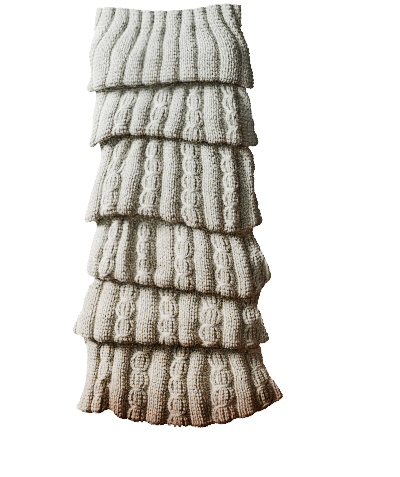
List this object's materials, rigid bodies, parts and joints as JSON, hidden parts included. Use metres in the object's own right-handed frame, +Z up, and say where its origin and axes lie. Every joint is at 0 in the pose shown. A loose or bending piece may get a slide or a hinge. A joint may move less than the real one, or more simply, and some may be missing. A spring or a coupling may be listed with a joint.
{
  "type": "cable-knit leg warmer",
  "caption": "Cream cable-knit leg warmer with a ribbed top band, pushed together into overlapping stretches and laid flat.",
  "frame": {"origin": "middle of the garment's outline, on the surface it lies on", "axes": "+Y up the garment towards the ribbed band, +X to the picture's right, +Z up off the surface"},
  "size_m": [0.1897, 0.384, 0.025],
  "materials": {
    "band_wool": "matt rib knit in cream wool yarn",
    "cable_wool": "matt cable knit in cream wool yarn"
  },
  "bodies": {
    "root": {"ribbed_band": "band_wool", "cable_stretch_1": "cable_wool", "cable_stretch_2": "cable_wool", "cable_stretch_3": "cable_wool", "cable_stretch_4": "cable_wool", "cable_stretch_5": "cable_wool"}
  },
  "joints": []
}
